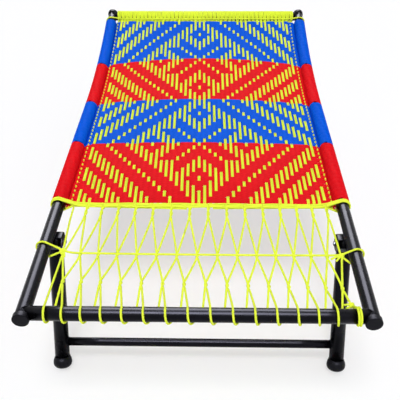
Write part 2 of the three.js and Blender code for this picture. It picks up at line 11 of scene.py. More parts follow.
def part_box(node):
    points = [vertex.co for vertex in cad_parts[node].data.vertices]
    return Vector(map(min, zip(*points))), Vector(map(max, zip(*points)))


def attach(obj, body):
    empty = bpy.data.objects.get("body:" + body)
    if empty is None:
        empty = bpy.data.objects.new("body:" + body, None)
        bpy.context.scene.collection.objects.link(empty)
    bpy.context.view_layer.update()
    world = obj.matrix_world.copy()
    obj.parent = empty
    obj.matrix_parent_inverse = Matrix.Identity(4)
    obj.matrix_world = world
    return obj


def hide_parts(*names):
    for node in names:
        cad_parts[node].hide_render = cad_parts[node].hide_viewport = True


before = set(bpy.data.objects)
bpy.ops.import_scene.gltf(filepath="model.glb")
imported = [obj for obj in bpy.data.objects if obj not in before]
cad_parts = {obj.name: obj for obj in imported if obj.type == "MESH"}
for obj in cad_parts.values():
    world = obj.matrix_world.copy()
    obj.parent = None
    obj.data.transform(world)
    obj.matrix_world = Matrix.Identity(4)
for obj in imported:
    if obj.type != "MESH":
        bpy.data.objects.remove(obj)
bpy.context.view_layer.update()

# Everything is in metres. Bed coordinates start on the foot bar's axis: x across, y towards the head,
# z up from the rail's axis. The frame's own foot crossbar says where that is.
MM = 0.001

# Frame, as it was bent and welded
RAIL_SPACING = 876 * MM
BAR_SPACING = 1777 * MM
TUBE_RADIUS = 19 * MM
LEVEL_LENGTH = 1071 * MM
BEND_RADIUS = 2436 * MM
BEND_ANGLE = math.radians(14.87)
RAIL_OVERHANG = 23 * MM
RAIL_X = RAIL_SPACING / 2
BARS = {"foot": 0.0, "head": BAR_SPACING}
SIDES = {"left": -1, "right": 1}
CLEARANCE = 0.3 * MM
BEAD_RADIUS = 1.7 * MM
RIPPLE_PITCH = 2 * MM

# Push-on rail end caps
CAP_RADIUS = 22 * MM
CAP_SKIRT = 12 * MM
CAP_LIP = 0.6 * MM
CAP_TOP = 3.3 * MM
CAP_EDGE = 1.8 * MM
CAP_DOME = 0.9 * MM

# Leg frames: each hangs on two pivots under the rails and leans by its splay
LEG_RADIUS = 22 * MM
LEG_LEAN = math.radians(1.8)
LEG_INSET = 9 * MM
LEG_SPLAY = {"foot": math.radians(29.8), "head": math.radians(17.5)}
PIVOT_FROM_BAR = 325 * MM
PIVOT_DROP = 45.8 * MM
PIVOT_X = RAIL_X - LEG_INSET
STRETCHER_RADIUS = 12.7 * MM
STRETCHER_FROM_FOOT = 65 * MM

# Rubber feet, turned about the leg's line. Heights are from the level of the leg's end.
FOOT_RADIUS = 28 * MM
FOOT_ROUND = 17 * MM
FOOT_SKIRT = 18 * MM
FOOT_LIP = 0.8 * MM
FOOT_SHOULDER = 13.5 * MM
FOOT_SKIRT_RADIUS = 24 * MM
FOOT_BORE_DEPTH = 4 * MM
FOOT_BEARING = 1 * MM

# Broken edges of the brackets and of the bolts, nuts and pins
BRACKET_EDGE = 1.8 * MM
FASTENER_EDGE = 0.5 * MM

# Mat, in rows of five wefts over columns of paired warps, with a single warp in each selvage
ROW_PITCH = 24.2 * MM
ROWS = 53
WEFTS_PER_ROW = 5
MAT_START = 444 * MM
MAT_END = MAT_START + ROWS * ROW_PITCH
MAT_RISE = 6 * MM
WEFT_RADIUS = 2.7 * MM
WARP_RADIUS = 2.35 * MM
WEFT_LIFT = 1.8 * MM
WARP_LIFT = 3.4 * MM
SELVAGE_DIP = -4.5 * MM
SELVAGE_SHIFT = 1 * MM
# A row's first weft goes under the selvage's dot, and the others lie on the selvage
UNDER_SELVAGE = -2 * WEFT_LIFT
ON_SELVAGE = -0.3 * WEFT_LIFT
WRAP_GAP = 0.5 * MM
WRAP_LINE = TUBE_RADIUS + WRAP_GAP + WEFT_RADIUS
# Each band: its rope, its first row and the row after its last, counted from the head
HALF_REPEAT = 13
BANDS = {
    "foot": ("red", 3 * HALF_REPEAT, ROWS),
    "middle": ("blue", 2 * HALF_REPEAT, 3 * HALF_REPEAT),
    "upper": ("red", HALF_REPEAT, 2 * HALF_REPEAT),
    "head": ("blue", 0, HALF_REPEAT),
}

# How the weave came to lie: its columns and rows drift, bow and crowd a little along the bed.
# The lay of column k is a sum over powers of k, each with its change towards the head.
WEAVE_MIDDLE = 1080 * MM
WEAVE_REACH = 650 * MM
COLUMN_LAY = ((-13.8 * MM, -10.7 * MM), (18.8 * MM, 0.74 * MM), (0.01 * MM, 0.0134 * MM),
              (-0.0023 * MM, -0.0016 * MM))
# How far rows are pushed towards the head, as a sum over powers of the way along the bed
ROW_PUSH_AT_RAILS = (-20.6 * MM, -68.8 * MM, -9 * MM, 128.7 * MM)
ROW_PUSH_IN_MIDDLE = (21.6 * MM, 48.6 * MM, 39.7 * MM, -117.2 * MM)
ROW_BOW_HALF = 430 * MM
# How far a weft strays from its row, and each point from its weft
WEFT_DRIFT = 0.12 * MM
WEFT_UNEVEN = 0.08 * MM

# Lime rope of the net and the edges
CORD_RADIUS = 3 * MM
CORD_LINE = TUBE_RADIUS + 0.6 * MM + CORD_RADIUS
EDGE_ROPES = 3
EDGE_MIDDLE = MAT_START - 10.2 * MM
EDGE_PITCH = 6.6 * MM
EDGE_SHIFT = 0.01 * MM
EDGE_SWEEP = 13 * MM
EDGE_SWAY = 1.4 * MM

# Foot net: how far each row of it is shifted across from the mat's edge, and the share lost at the sides
NET_COLUMNS = 16
NET_LAST = NET_COLUMNS - 1
NET_MARGIN = 51 * MM
NET_MIDDLE = -2 * MM
NET_GATHER = 0.09
NET_SHIFTS = {"edge": (0.0, 0.0), "cord": (27 * MM, 0.57), "lower": (52 * MM, 0.38), "over": (8 * MM, 0.0),
              "behind": (40 * MM, 0.5)}
NET_START = EDGE_MIDDLE - 1.5 * EDGE_PITCH - CLEARANCE
# The place along the bed of each row of joints, its slant across the bed, its rise and its length
NET_JOINTS = {
    "edge": (NET_START - 27 * MM, 0.0, 6 * MM, 54 * MM),
    "cord": (213 * MM, -1 * MM, 5 * MM, 30 * MM),
    "lower": (98 * MM, -8 * MM, 7 * MM, 30 * MM),
}
JOINT_HALF = 2.3 * MM
TWIST_PITCH = 40 * MM
# The strand's way over the nearest edge rope and back beneath it: across, along and up in mm
EDGE_LOOP = ((-2.8, 4, 13.5), (-1.2, 9, 15.5), (1.2, 10, 8.5), (2.8, 4, 1))
HALVES_MEET = math.radians(265)
UNDER_EASE = 2.6
KNOT_SIZE = 6.5 * MM
END_KNOT = np.array([RAIL_X - 48 * MM, 31 * MM, 7 * MM])
END_TURN_X = RAIL_X - 39 * MM
END_TURN_PITCH = 5.6 * MM
# Two points of each cut end of a knot, from its middle: across, along and up in mm
END_TAILS = [((-8, -2, 5), (-19, -3, 3)), ((-5, -8, 3), (-15, -14, 4))]

# Cross cord: by side, how far its knot is pulled towards the head, how far its tie is shifted along the
# rail where it starts over it and ends under it, and the knot's cut ends
CORD_SAG = 3 * MM
KNOT_PULL = {-1: 12 * MM, 1: 2 * MM}
PULL_REACH = 45 * MM
TIE_OVER = {-1: 19 * MM, 1: 10 * MM}
TIE_UNDER = {-1: 4 * MM, 1: -2 * MM}
TIE_BOW = 9 * MM
TIE_TAILS = {-1: [((7, -8, 2), (10, -22, -4)), ((-3, -9, 3), (4, -17, 1))],
             1: [((-14, -7, 2), (-31, -15, 0)), ((-8, -10, 1), (-17, -20, -2))]}

# How closely long ropes, and knots and ties, are sampled
ROPE_SPACING = 5 * MM
KNOT_SPACING = 3 * MM

bar_low, bar_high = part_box("foot_crossbar")
ORIGIN = np.array([0.0, (bar_low.y + bar_high.y) / 2, (bar_low.z + bar_high.z) / 2])


def rail_point(station):
    """Where the rail's axis is at a station along it: y, z and its slope."""
    station = np.asarray(station, float)
    angle = np.clip(station - LEVEL_LENGTH, 0, BEND_RADIUS * BEND_ANGLE) / BEND_RADIUS
    beyond = np.maximum(station - LEVEL_LENGTH - BEND_RADIUS * BEND_ANGLE, 0)
    y = np.minimum(station, LEVEL_LENGTH) + BEND_RADIUS * np.sin(angle) + beyond * np.cos(angle)
    z = BEND_RADIUS * (1 - np.cos(angle)) + beyond * np.sin(angle)
    return y, z, angle


def on_bed(x, station, rise, along=0.0):
    """Points at x across the bed, at a station along the rail's line, raised square to it there, and so
    far along its slope there."""
    y, z, slope = rail_point(station)
    x, y, z = np.broadcast_arrays(x, y + along * np.cos(slope) - rise * np.sin(slope),
                                  z + along * np.sin(slope) + rise * np.cos(slope))
    return np.stack([x, y, z], -1) + ORIGIN


# Materials


def linear(colour):
    """An sRGB hex colour as the linear RGBA that Blender's sockets take."""
    parts = [int(colour[i : i + 2], 16) / 255 for i in (1, 3, 5)]
    return tuple(c / 12.92 if c <= 0.04045 else ((c + 0.055) / 1.055) ** 2.4 for c in parts) + (1.0,)


def add(tree, kind, links=(), **settings):
    """One node: its settings, and for each input, by name or number, a socket, a node (its first output)
    or a value."""
    made = tree.nodes.new(kind)
    for key, value in settings.items():
        setattr(made, key, value)
    for socket, source in dict(links).items():
        if isinstance(source, bpy.types.Node):
            source = source.outputs[0]
        if isinstance(source, bpy.types.NodeSocket):
            tree.links.new(source, made.inputs[socket])
        else:
            made.inputs[socket].default_value = source
    return made


def new_material(name):
    """A material, and its node tree with nothing in it."""
    material = bpy.data.materials.new(name)
    material.use_nodes = True
    material.node_tree.nodes.clear()
    return material, material.node_tree


# Rope of three strands, laid up at one turn in 20 mm. Its fibres are about 0.3 mm apart, and drawn at
# 1.2 mm so that they show. Dye and handling change its colour a little over some 60 mm.
ROPE_LAY = 20 * MM
ROPE_STRANDS = 3.0
ROPE_RELIEF = 0.25 * MM
# How far the grooves between the strands are painted towards the deep colour: painted shade
GROOVE_PAINTED_SHADE = 0.34
FIBRE_SIZE = 1.2 * MM
FIBRE_SHARE = 0.15
HANDLED_SIZE = 60 * MM
HANDLED_SHADE = 0.12


def rope_material(name, colour, deep):
    """Twisted polypropylene rope: nearly matt, shade painted between its strands, with a fine fibrous grain.
    """
    material, tree = new_material(name)
    place = add(tree, "ShaderNodeAttribute", attribute_name="rope_lay")
    parts = add(tree, "ShaderNodeSeparateXYZ", {0: place.outputs["Vector"]}).outputs
    around = add(tree, "ShaderNodeMath", {0: parts["Z"], 1: parts["Y"]}, operation="ARCTAN2")
    turns = add(tree, "ShaderNodeMath", {0: parts["X"], 1: math.tau / ROPE_LAY}, operation="MULTIPLY")
    phase = add(tree, "ShaderNodeMath", {0: around, 1: ROPE_STRANDS, 2: turns}, operation="MULTIPLY_ADD")
    wave = add(tree, "ShaderNodeMath", {0: phase}, operation="SINE")
    groove = add(tree, "ShaderNodeMapRange", {0: wave, 1: -1.0, 2: 0.2, 3: 1.0, 4: 0.0})
    space = add(tree, "ShaderNodeTexCoord").outputs["Object"]
    fibres = add(tree, "ShaderNodeTexNoise", {"Vector": space, "Scale": 1 / FIBRE_SIZE, "Detail": 2.0})
    handled = add(tree, "ShaderNodeTexNoise", {"Vector": space, "Scale": 1 / HANDLED_SIZE, "Detail": 3.0})
    tone = add(tree, "ShaderNodeMapRange", {0: handled, 1: 0.3, 2: 0.7, 3: 0.0, 4: HANDLED_SHADE})
    # Painted shade in the grooves, and a little handled tone in patches, darken the rope towards its deep
    # colour
    depth = add(tree, "ShaderNodeMath", {0: groove, 1: GROOVE_PAINTED_SHADE, 2: tone}, operation="MULTIPLY_ADD")
    dye = add(tree, "ShaderNodeMix", {0: depth, 6: linear(colour), 7: linear(deep)}, data_type="RGBA")
    relief = add(tree, "ShaderNodeMath", {0: fibres, 1: FIBRE_SHARE, 2: wave}, operation="MULTIPLY_ADD")
    bump = add(tree, "ShaderNodeBump", {"Height": relief, "Strength": 0.5, "Distance": ROPE_RELIEF})
    shader = add(tree, "ShaderNodeBsdfPrincipled", {
        "Base Color": dye.outputs[2], "Normal": bump, "Roughness": 0.55, "Specular IOR Level": 0.01,
        "Sheen Weight": 0.01, "Sheen Roughness": 0.5})
    add(tree, "ShaderNodeOutputMaterial", {"Surface": shader})
    return material


# The softbox's slightly violet white, as the photograph's black tubes mirror it
GLOSS_TINT = "#E4E4FF"
# How far a surface's roughness falls and rises from patch to patch
SMOOTHER = 0.05
ROUGHER = 0.07


def surface_material(name, colour, worn, roughness, grain, relief, metallic=0.0, specular=0.5, patch=45 * MM):
    """A moulded, painted or plated surface: grain is the size of its fine texture, relief the depth of it,
    and patch the size of its uneven gloss."""
    material, tree = new_material(name)
    space = add(tree, "ShaderNodeTexCoord").outputs["Object"]
    gloss = add(tree, "ShaderNodeTexNoise", {"Vector": space, "Scale": 1 / patch, "Detail": 4.0})
    rough = add(tree, "ShaderNodeMapRange",
                {0: gloss, 1: 0.25, 2: 0.75, 3: roughness - SMOOTHER, 4: roughness + ROUGHER})
    tint = add(tree, "ShaderNodeMapRange", {0: gloss, 1: 0.45, 2: 0.8, 3: 0.0, 4: 1.0})
    paint = add(tree, "ShaderNodeMix", {0: tint, 6: linear(colour), 7: linear(worn)}, data_type="RGBA")
    fine = add(tree, "ShaderNodeTexNoise", {"Vector": space, "Scale": 1 / grain, "Detail": 2.0})
    bump = add(tree, "ShaderNodeBump", {"Height": fine, "Strength": 0.35, "Distance": relief})
    shader = add(tree, "ShaderNodeBsdfPrincipled", {
        "Base Color": paint.outputs[2], "Normal": bump, "Roughness": rough, "Metallic": metallic,
        "Specular IOR Level": specular, "Specular Tint": linear(GLOSS_TINT)})
    add(tree, "ShaderNodeOutputMaterial", {"Surface": shader})
    return material


# Each rope's colour, and its deep colour: the painted shade in its grooves
ROPES = {
    "blue": rope_material("blue_polypropylene_rope", "#0460E2", "#0344B6"),
    "red": rope_material("red_polypropylene_rope", "#EC1620", "#B60C16"),
    "lime": rope_material("lime_polypropylene_rope", "#F0FF48", "#DCF034"),
}
# Enamel sprayed on drawn tube: semi-gloss, with a slight orange peel of about 3 mm
ENAMEL = surface_material("black_enamelled_steel", "#030304", "#08080C", 0.27, 3 * MM, 0.05 * MM,
                          specular=0.12)
# Injection-moulded polyethylene: satin, with a fine spark-eroded grain
CAP_PLASTIC = surface_material("moulded_black_polyethylene", "#070709", "#101014", 0.4, 0.9 * MM, 0.04 * MM,
                               specular=0.1)
# Moulded rubber: dull, greyed by dust where it has been handled
RUBBER = surface_material("moulded_black_rubber", "#070708", "#141416", 0.42, 1.2 * MM, 0.06 * MM,
                          specular=0.14, patch=20 * MM)
# Zinc plate on steel: a soft bluish metal, dulled, with faint mottling
ZINC = surface_material("zinc_plated_steel", "#5E6067", "#48484A", 0.34, 0.8 * MM, 0.03 * MM, metallic=1.0,
                        patch=6 * MM)


# Node trees that make what follows a path


def new_tree(name, **inputs):
    """A tree that takes a path, the inputs named here, each of its kind, and a material."""
    tree = bpy.data.node_groups.new(name, "GeometryNodeTree")
    for label, kind in {"path": "Geometry", **inputs, "material": "Material"}.items():
        tree.interface.new_socket(label, in_out="INPUT", socket_type=f"NodeSocket{kind}")
    tree.interface.new_socket("Geometry", in_out="OUTPUT", socket_type="NodeSocketGeometry")
    return tree, add(tree, "NodeGroupInput").outputs, add(tree, "NodeGroupOutput")


def rope_skin(tree, given, curve):
    """A round skin over a curve, with each point's place in the rope's lay kept on it."""
    along = add(tree, "GeometryNodeSplineParameter")
    kept = add(tree, "GeometryNodeCaptureAttribute", {0: curve})
    kept.capture_items.new("FLOAT", "along")
    tree.links.new(along.outputs["Length"], kept.inputs[1])
    ring = add(tree, "GeometryNodeCurvePrimitiveCircle",
               {"Resolution": given["sides"], "Radius": given["rope_radius"]})
    spot = add(tree, "GeometryNodeInputPosition")
    ringed = add(tree, "GeometryNodeCaptureAttribute", {0: ring})
    ringed.capture_items.new("VECTOR", "around")
    tree.links.new(spot.outputs[0], ringed.inputs[1])
    skin = add(tree, "GeometryNodeCurveToMesh", {"Curve": kept, "Profile Curve": ringed, "Fill Caps": True})
    around = add(tree, "ShaderNodeSeparateXYZ", {0: ringed.outputs[1]}).outputs
    lay = add(tree, "ShaderNodeCombineXYZ", {0: kept.outputs[1], 1: around[0], 2: around[1]})
    marked = add(tree, "GeometryNodeStoreNamedAttribute", {"Geometry": skin, "Name": "rope_lay"},
                 data_type="FLOAT_VECTOR", domain="POINT")
    tree.links.new(lay.outputs[0], marked.inputs["Value"])
    return add(tree, "GeometryNodeSetShadeSmooth", {0: marked})


def end_tree(tree, given, out, geometry):
    real = add(tree, "GeometryNodeRealizeInstances", {0: geometry})
    done = add(tree, "GeometryNodeSetMaterial", {"Geometry": real, "Material": given["material"]})
    tree.links.new(done.outputs[0], out.inputs[0])
    return tree


def make_rope_tree():
    """Rope laid along paths: each run of edges becomes one rope."""
    tree, given, out = new_tree("rope_along_path", rope_radius="Float", sides="Int")
    curve = add(tree, "GeometryNodeMeshToCurve", {0: given["path"]})
    return end_tree(tree, given, out, rope_skin(tree, given, curve))


def make_turns_tree():
    """Rope turned round a path, one turn beside the other. Over one stretch, given as shares of the path,
    the turns are open below a height, given as a share of their radius: a bracket sits there."""
    tree, given, out = new_tree(
        "rope_turns_round_path", turns="Int", steps="Int", turn_radius="Float", rope_radius="Float",
        sides="Int", open_from="Float", open_to="Float", open_below="Float")
    line = add(tree, "GeometryNodeMeshToCurve", {0: given["path"]})
    total = add(tree, "ShaderNodeMath", {0: given["turns"], 1: given["steps"]}, operation="MULTIPLY")
    points = add(tree, "GeometryNodeMeshLine", {"Count": total})
    index = add(tree, "GeometryNodeInputIndex")
    share = add(tree, "ShaderNodeMath", {0: index, 1: total}, operation="DIVIDE")
    turn = add(tree, "ShaderNodeMath", {0: index, 1: given["steps"]}, operation="DIVIDE")
    angle = add(tree, "ShaderNodeMath", {0: turn, 1: math.tau}, operation="MULTIPLY")
    up = add(tree, "ShaderNodeMath", {0: angle}, operation="COSINE")
    across = add(tree, "ShaderNodeMath", {0: angle}, operation="SINE")
    spot = add(tree, "GeometryNodeSampleCurve", {"Curves": line, "Factor": share}, use_all_curves=True)
    ahead = spot.outputs["Tangent"]
    level = add(tree, "ShaderNodeVectorMath", {0: ahead, 1: (0.0, 0.0, 1.0)}, operation="CROSS_PRODUCT")
    side = add(tree, "ShaderNodeVectorMath", {0: level}, operation="NORMALIZE")
    top = add(tree, "ShaderNodeVectorMath", {0: side, 1: ahead}, operation="CROSS_PRODUCT")
    lift = add(tree, "ShaderNodeVectorMath", {0: top, "Scale": up}, operation="SCALE")
    shift = add(tree, "ShaderNodeVectorMath", {0: side, "Scale": across}, operation="SCALE")
    outwards = add(tree, "ShaderNodeVectorMath", {0: lift, 1: shift}, operation="ADD")
    reach = add(tree, "ShaderNodeVectorMath", {0: outwards, "Scale": given["turn_radius"]}, operation="SCALE")
    place = add(tree, "ShaderNodeVectorMath", {0: spot.outputs["Position"], 1: reach}, operation="ADD")
    past = add(tree, "FunctionNodeCompare", {0: share, 1: given["open_from"]}, operation="GREATER_THAN")
    before = add(tree, "FunctionNodeCompare", {0: share, 1: given["open_to"]}, operation="LESS_THAN")
    beneath = add(tree, "FunctionNodeCompare", {0: up, 1: given["open_below"]}, operation="LESS_THAN")
    within = add(tree, "FunctionNodeBooleanMath", {0: past, 1: before}, operation="AND")
    gone = add(tree, "FunctionNodeBooleanMath", {0: within, 1: beneath}, operation="AND")
    placed = add(tree, "GeometryNodeSetPosition", {"Geometry": points, "Position": place})
    held = add(tree, "GeometryNodeCaptureAttribute", {0: placed})
    held.capture_items.new("BOOLEAN", "gone")
    tree.links.new(gone.outputs[0], held.inputs[1])
    left = add(tree, "GeometryNodeDeleteGeometry", {"Geometry": held, "Selection": held.outputs[1]},
               domain="POINT")
    curve = add(tree, "GeometryNodeMeshToCurve", {0: left})
    return end_tree(tree, given, out, rope_skin(tree, given, curve))


def make_weld_tree():
    """A weld bead: overlapping ripples of metal, one beside the other along a seam."""
    tree, given, out = new_tree("weld_bead_along_seam")
    seam = add(tree, "GeometryNodeMeshToCurve", {0: given["path"]})
    spots = add(tree, "GeometryNodeCurveToPoints", {"Curve": seam, "Length": RIPPLE_PITCH}, mode="LENGTH")
    ball = add(tree, "GeometryNodeMeshUVSphere", {"Segments": 10, "Rings": 6, "Radius": BEAD_RADIUS})
    drop = add(tree, "GeometryNodeSetShadeSmooth", {0: ball})
    size = add(tree, "FunctionNodeRandomValue",
               {"Min": (0.85, 0.85, 0.85), "Max": (1.1, 1.1, 1.1), "Seed": 1}, data_type="FLOAT_VECTOR")
    ripples = add(tree, "GeometryNodeInstanceOnPoints", {"Points": spots, "Instance": drop, "Scale": size})
    return end_tree(tree, given, out, ripples)


ROPE_TREE = make_rope_tree()
TURNS_TREE = make_turns_tree()
WELD_TREE = make_weld_tree()


# Meshes and pieces


def new_object(name, mesh):
    made = bpy.data.objects.new(name, mesh)
    bpy.context.scene.collection.objects.link(made)
    return made


def as_evaluated(made):
    """The mesh that an object's modifiers make. The object itself goes."""
    mesh = bpy.data.meshes.new_from_object(made.evaluated_get(bpy.context.evaluated_depsgraph_get()))
    bpy.data.objects.remove(made)
    return mesh


def painted(name, mesh, body, material, nodes=()):
    """A piece of one material, which rides on a body and stands for CAD nodes."""
    mesh.name = name
    mesh.materials.clear()
    mesh.materials.append(material)
    piece = new_object(name, mesh)
    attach(piece, body)
    if nodes:
        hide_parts(*nodes)


def paths_mesh(name, paths, closed):
    """A mesh of edges that follows each path."""
    edges, start = [], 0
    for path in paths:
        ids = np.arange(start, start + len(path))
        edges.append(np.stack([ids[:-1], ids[1:]], -1))
        if closed:
            edges.append([[ids[-1], ids[0]]])
        start += len(path)
    mesh = bpy.data.meshes.new(name)
    mesh.from_pydata(np.concatenate(paths).tolist(), np.concatenate(edges).tolist(), [])
    return mesh


def grown(name, tree, paths, body, slot, material, nodes=(), closed=False, **inputs):
    """Runs a node tree on paths and keeps the result as a plain piece."""
    seed = new_object(name + ".path", paths_mesh(name + ".path", paths, closed))
    modifier = seed.modifiers.new("nodes", "NODES")
    modifier.node_group = tree
    sockets = {s.name: s.identifier for s in tree.interface.items_tree if s.in_out == "INPUT"}
    for label, value in {"material": material, **inputs}.items():
        modifier[sockets[label]] = value
    painted(name, as_evaluated(seed), body, material, nodes)


def rope(name, colour, paths, radius, sides, nodes=()):
    """Ropes of one colour along paths on the bed, as one piece."""
    grown(name, ROPE_TREE, paths, "bed", f"{colour}_rope", ROPES[colour], nodes, rope_radius=radius,
          sides=sides)


def steel(name, mesh, body, node):
    painted(name, mesh, body, ENAMEL, [node])


def weld(name, seams, body):
    grown(name, WELD_TREE, seams, body, "black_painted_steel", ENAMEL, closed=True)


def smoothed(points, spacing):
    """A smooth line through points, sampled about every spacing."""
    points = np.asarray(points, float)
    ahead = np.vstack([2 * points[0] - points[1], points, 2 * points[-1] - points[-2]])
    out = []
    for i in range(len(points) - 1):
        p0, p1, p2, p3 = ahead[i : i + 4]
        steps = max(1, int(round(np.linalg.norm(p2 - p1) / spacing)))
        # Centripetal spacing keeps the line from looping at sharp turns
        t0 = 0.0
        t1 = t0 + max(np.linalg.norm(p1 - p0), 1e-6) ** 0.5
        t2 = t1 + max(np.linalg.norm(p2 - p1), 1e-6) ** 0.5
        t3 = t2 + max(np.linalg.norm(p3 - p2), 1e-6) ** 0.5
        for j in range(steps):
            t = t1 + (t2 - t1) * j / steps
            a1 = (t1 - t) / (t1 - t0) * p0 + (t - t0) / (t1 - t0) * p1
            a2 = (t2 - t) / (t2 - t1) * p1 + (t - t1) / (t2 - t1) * p2
            a3 = (t3 - t) / (t3 - t2) * p2 + (t - t2) / (t3 - t2) * p3
            b1 = (t2 - t) / (t2 - t0) * a1 + (t - t0) / (t2 - t0) * a2
            b2 = (t3 - t) / (t3 - t1) * a2 + (t - t1) / (t3 - t1) * a3
            out.append((t2 - t) / (t2 - t1) * b1 + (t - t1) / (t2 - t1) * b2)
    out.append(points[-1])
    return np.array(out)


def closed_mesh(bm):
    """The mesh of a closed shell: its faces point outwards, and all but its flat ends are smooth."""
    bmesh.ops.recalc_face_normals(bm, faces=bm.faces)
    for face in bm.faces:
        face.smooth = len(face.verts) <= 4
    mesh = bpy.data.meshes.new("shell")
    bm.to_mesh(mesh)
    bm.free()
    return mesh


def turned(profile, sides=48):
    """A turned shape about Z, from a profile of (radius, height) that starts and ends on the axis."""
    bm = bmesh.new()
    rings = []
    for radius, height in profile:
        on_axis = radius < 1e-7
        angles = [0.0] if on_axis else [math.tau * i / sides for i in range(sides)]
        rings.append([bm.verts.new((radius * math.cos(a), radius * math.sin(a), height)) for a in angles])
    for lower, upper in zip(rings, rings[1:]):
        for i in range(sides):
            j = (i + 1) % sides
            if len(lower) == 1:
                bm.faces.new((lower[0], upper[j], upper[i]))
            elif len(upper) == 1:
                bm.faces.new((lower[i], lower[j], upper[0]))
            else:
                bm.faces.new((lower[i], lower[j], upper[j], upper[i]))
    return closed_mesh(bm)


def profile_arc(centre_r, centre_z, wide, tall, start, end, steps=8):
    """Points of a round stretch of a turned profile, from a start angle to an end angle in degrees."""
    return [(centre_r + wide * math.cos(math.radians(a)), centre_z + tall * math.sin(math.radians(a)))
            for a in np.linspace(start, end, steps)]


def swept(rings):
    """A closed skin over rings of points, each ring the same number."""
    count = len(rings[0])
    bm = bmesh.new()
    made = [[bm.verts.new(p) for p in ring] for ring in rings]
    for lower, upper in zip(made, made[1:]):
        for i in range(count):
            j = (i + 1) % count
            bm.faces.new((lower[i], lower[j], upper[j], upper[i]))
    bm.faces.new(made[0])
    bm.faces.new(made[-1])
    return closed_mesh(bm)


# Camera, where the photograph was taken from

LENS = 54.58
FILM = 36
PITCH = math.radians(37.41)
YAW = math.radians(-1.35)
ROLL = math.radians(0.43)
EYE_FROM_FOOT_BAR = (0.035, -1.031, 1.151)

scene = bpy.context.scene
camera = new_object("camera", bpy.data.cameras.new("camera"))
scene.camera = camera
camera.data.sensor_width = FILM
camera.data.lens = LENS
forward = Vector((math.sin(YAW) * math.cos(PITCH), math.cos(YAW) * math.cos(PITCH), -math.sin(PITCH)))
level_right = Vector((math.cos(YAW), -math.sin(YAW), 0))
level_down = forward.cross(level_right)
right = level_right * math.cos(ROLL) + level_down * math.sin(ROLL)
down = level_down * math.cos(ROLL) - level_right * math.sin(ROLL)
eye = Vector(ORIGIN) + Vector(EYE_FROM_FOOT_BAR)
camera.matrix_world = Matrix((
    (right.x, -down.x, -forward.x, eye.x),
    (right.y, -down.y, -forward.y, eye.y),
    (right.z, -down.z, -forward.z, eye.z),
    (0, 0, 0, 1)))

# Studio

STUDIO_WHITE = "#FFFFFF"
AMBIENT_LEVEL = 0.32
BACKDROP_GLOW_SHARE = 0.6
FLOOR_HALF = 9
scene.view_settings.view_transform = "Standard"


def light_world():
    """White behind everything for the camera, glass and gloss, and a faint even light for the rest."""
    world = bpy.data.worlds.new("studio")
    scene.world = world
    world.use_nodes = True
    tree = world.node_tree
    tree.nodes.clear()
    rays = add(tree, "ShaderNodeLightPath").outputs
    direct = add(tree, "ShaderNodeMath", {0: rays["Is Camera Ray"], 1: rays["Is Transmission Ray"]},
                 operation="MAXIMUM")
    seen = add(tree, "ShaderNodeMath", {0: direct, 1: rays["Is Glossy Ray"]}, operation="MAXIMUM")
    ambient = add(tree, "ShaderNodeBackground", {"Color": linear("#F4F4FF"), "Strength": AMBIENT_LEVEL})
    backdrop = add(tree, "ShaderNodeBackground", {"Color": linear(STUDIO_WHITE), "Strength": 1.0})
    mixed = add(tree, "ShaderNodeMixShader", {0: seen, 1: ambient, 2: backdrop})
    add(tree, "ShaderNodeOutputWorld", {"Surface": mixed})


def backdrop_paper():
    """White paper that takes the object's shadow, and to the camera is part white light of its own."""
    paper, tree = new_material("white_backdrop_paper")
    rays = add(tree, "ShaderNodeLightPath").outputs
    matt = add(tree, "ShaderNodeBsdfDiffuse", {"Color": linear("#FCFCFE")})
    glow = add(tree, "ShaderNodeEmission", {"Color": linear(STUDIO_WHITE), "Strength": 1.0})
    lit = add(tree, "ShaderNodeMath", {0: rays["Is Camera Ray"], 1: BACKDROP_GLOW_SHARE},
              operation="MULTIPLY")
    mixed = add(tree, "ShaderNodeMixShader", {0: lit, 1: matt, 2: glow})
    add(tree, "ShaderNodeOutputMaterial", {"Surface": mixed})
    return paper


def broad_light(name, comes_from, softness, level, gloss_only=False):
    """A large soft source far away: level 1 lights a surface that faces it to its written colour.
    One for gloss only is mirrored by paint and plastic, and lights nothing."""
    data = bpy.data.lights.new(name, "SUN")
    data.angle = math.radians(softness)
    data.energy = level * math.pi
    lamp = new_object(name, data)
    lamp.rotation_euler = Vector(comes_from).to_track_quat("Z", "Y").to_euler()
    lamp.visible_diffuse = not gloss_only


light_world()
floor_mesh = bpy.data.meshes.new("floor")
floor_mesh.from_pydata([(x * FLOOR_HALF, y * FLOOR_HALF, 0) for x, y in ((-1, -1), (1, -1), (1, 1), (-1, 1))],
                       [], [(0, 1, 2, 3)])
floor_mesh.materials.append(backdrop_paper())
new_object("floor", floor_mesh)
broad_light("key_softbox", (-0.06, -0.37, 1.0), 22, 0.72)
broad_light("fill_softbox", (0.8, -0.5, 0.9), 50, 0.08)
broad_light("overhead_reflector", (0.0, -0.25, 1.0), 32, 1.8, gloss_only=True)
broad_light("rear_reflector", (-0.06, 0.7, 0.68), 40, 2.6, gloss_only=True)


# Woven mat


def lime_shows(k, row):
    """The weaving draft: whether the warps k columns from the middle pass over a row of wefts.
    The figure is mirrored left and right, and repeats with its mirror image along the mat."""
    k = abs(k)
    step = row % (2 * HALF_REPEAT)
    q = min(step, 2 * HALF_REPEAT - step) - 4
    heart = k == 0 and q == 0
    wing = 5 <= k <= 7 and k - 5 <= q <= 4
    # Diagonals that run outwards, three rows broad but for one
    broad_out = any(abs(q - (k - n)) <= 1 for n in (4, 14, 19, 24))
    thin_out = 5 <= k <= 18 and q == k - 9
    # Diagonals that run back, and close the diamonds
    broad_back = (k <= 4 and abs(q - (4 - k)) <= 1) or (5 <= k <= 9 and abs(q - (14 - k)) <= 1)
    thin_back = k <= 4 and q == 9 - k
    # Single floats where the figure turns round
    tips = (q == 9 and k in (4, 9, 14)) or (q == -4 and k in (9, 14, 19))
    return heart or wing or broad_out or thin_out or broad_back or thin_back or tips


